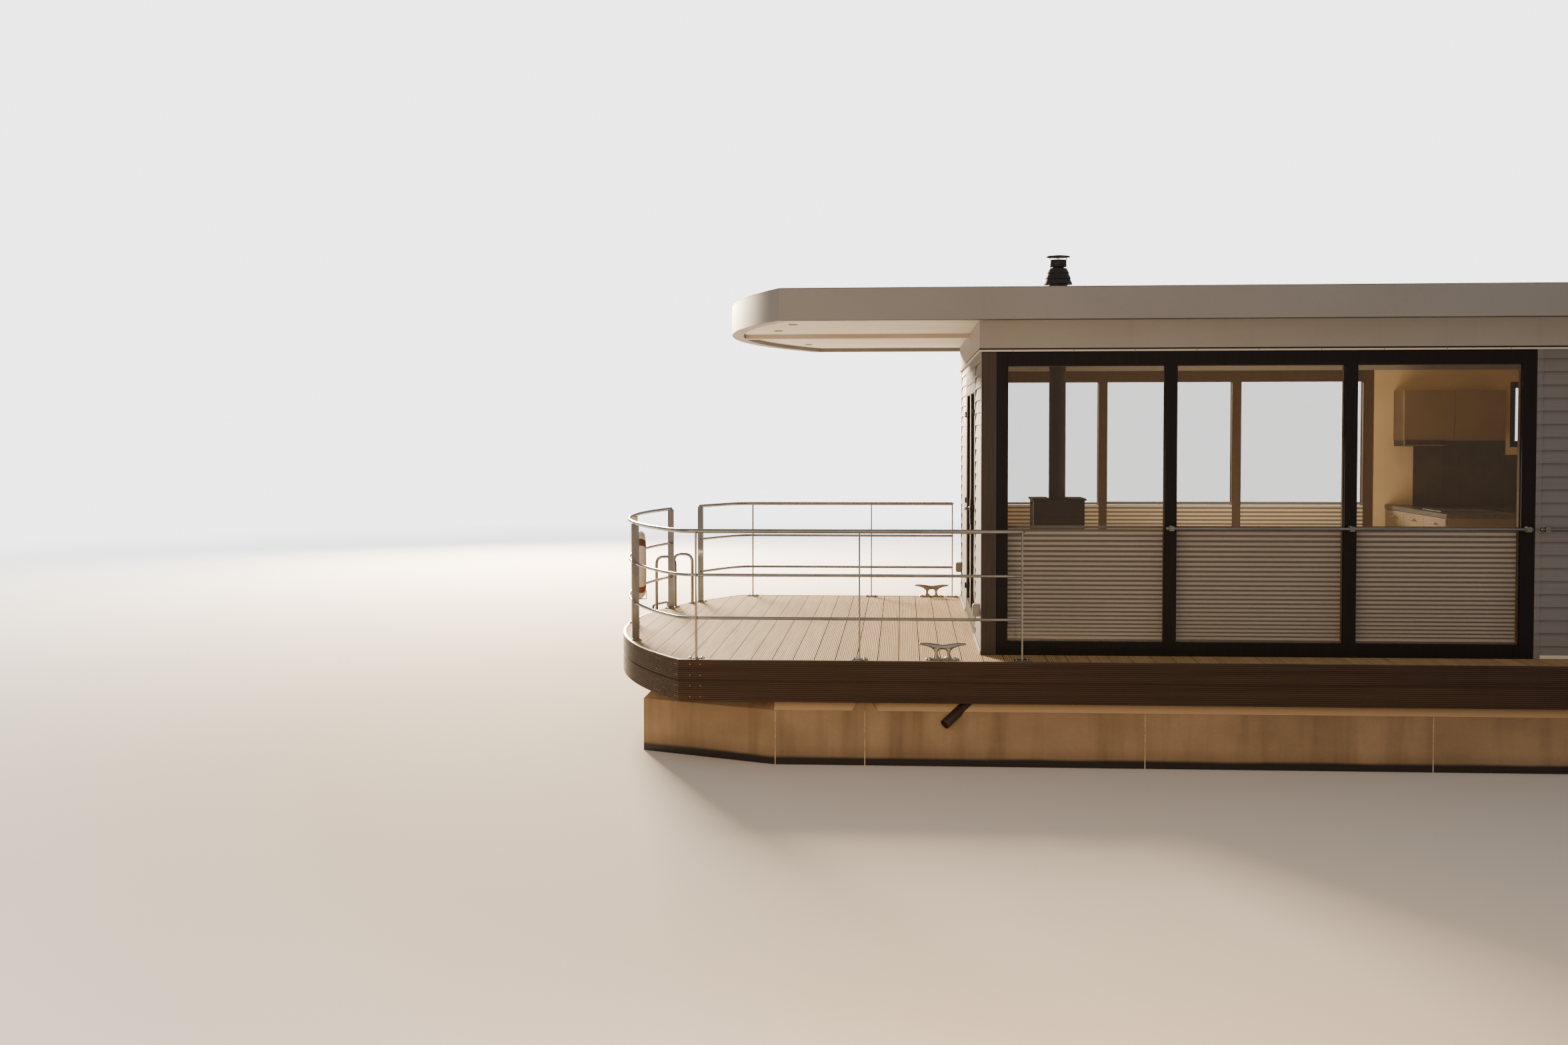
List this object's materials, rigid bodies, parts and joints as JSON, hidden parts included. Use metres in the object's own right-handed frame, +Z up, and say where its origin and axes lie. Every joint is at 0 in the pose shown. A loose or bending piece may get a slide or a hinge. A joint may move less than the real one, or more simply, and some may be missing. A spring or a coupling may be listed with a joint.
{
  "type": "houseboat",
  "caption": "houseboat with a flat round-nosed deck on a concrete pontoon, a glazed flat-roofed cabin, tube railings and a folding swim ladder",
  "frame": {"origin": "middle of the bounding box, at the flat bottom of the pontoon", "axes": "+X towards the round bow, +Y to port, where the walkway is, +Z up"},
  "size_m": [13.2968, 5.14, 4.8003],
  "materials": {
    "concrete": "pale painted concrete",
    "board": "grooved brown decking",
    "white": "satin white coating",
    "siding": "pale grey lap boards",
    "anthracite": "satin anthracite",
    "glass": "clear window glass",
    "steel": "polished stainless tube",
    "blind": "pale pleated cloth",
    "black": "matt black",
    "inside": "cream wall lining",
    "floor": "oak floor",
    "cabinet": "cream fronts",
    "worktop": "dark worktop",
    "pipe": "brown drain pipe",
    "float": "white lifebuoy shell"
  },
  "bodies": {
    "houseboat": {"pontoon": "concrete", "drain_pipe": "pipe", "deck_platform": "board", "fascia_bow": "board", "fascia_port": "board", "fascia_starboard": "board", "fascia_stern": "board", "cabin_floor": "floor", "pane_port_1": "glass", "pane_port_2": "glass", "pane_port_3": "glass", "window_frame_port": "anthracite", "pane_starboard_1": "glass", "pane_starboard_2": "glass", "pane_starboard_3": "glass", "window_frame_starboard": "anthracite", "blind_port": "blind", "blind_starboard": "blind", "side_wall_port": "siding", "side_wall_starboard": "siding", "bedroom_window_port_frame": "anthracite", "bedroom_window_port_pane": "glass", "bedroom_window_starboard_frame": "anthracite", "bedroom_window_starboard_pane": "glass", "galley_window_frame": "anthracite", "galley_window_pane": "glass", "front_wall": "white", "rear_wall": "siding", "terrace_door_frame": "anthracite", "rear_door_frame": "anthracite", "head_band": "white", "cabin_ceiling": "inside", "roof_fascia": "white", "roof_panel": "white", "flue": "black", "stove": "black", "galley_base": "cabinet", "galley_worktop": "worktop", "galley_wall_cabinets": "cabinet", "bulkhead": "inside", "railing_port": "steel", "railing_starboard": "steel", "railing_stern": "steel", "window_guard_port": "steel", "window_guard_starboard": "steel", "walkway_handrail": "steel", "cleat_port_bow": "steel", "cleat_starboard_bow": "steel", "cleat_port_stern": "steel", "cleat_starboard_stern": "steel", "lifebuoy": "float", "swim_ladder_frame": "steel"},
    "terrace_door_port": {"terrace_door_port": "anthracite", "terrace_door_port_pane": "glass"},
    "terrace_door_starboard": {"terrace_door_starboard": "anthracite", "terrace_door_starboard_pane": "glass"},
    "rear_door": {"rear_door": "anthracite", "rear_door_pane": "glass"},
    "swim_ladder": {"swim_ladder_fold": "steel"}
  },
  "joints": [
    {"name": "terrace_door_port_hinge", "type": "hinge", "parent": "houseboat", "child": "terrace_door_port", "pos_m": [3.508, 0.8967, 2.55], "axis": [0, 0, 1], "range_deg": [0, 90]},
    {"name": "terrace_door_starboard_hinge", "type": "hinge", "parent": "houseboat", "child": "terrace_door_starboard", "pos_m": [3.508, -0.8967, 2.55], "axis": [0, 0, -1], "range_deg": [0, 90]},
    {"name": "rear_door_hinge", "type": "hinge", "parent": "houseboat", "child": "rear_door", "pos_m": [-5.408, 1.1267, 2.55], "axis": [0, 0, -1], "range_deg": [0, 90]},
    {"name": "swim_ladder_hinge", "type": "hinge", "parent": "houseboat", "child": "swim_ladder", "pos_m": [6.53432, -1.54863, 0.83], "axis": [0.3303, 0.9439, 0], "range_deg": [0, 180]}
  ]
}
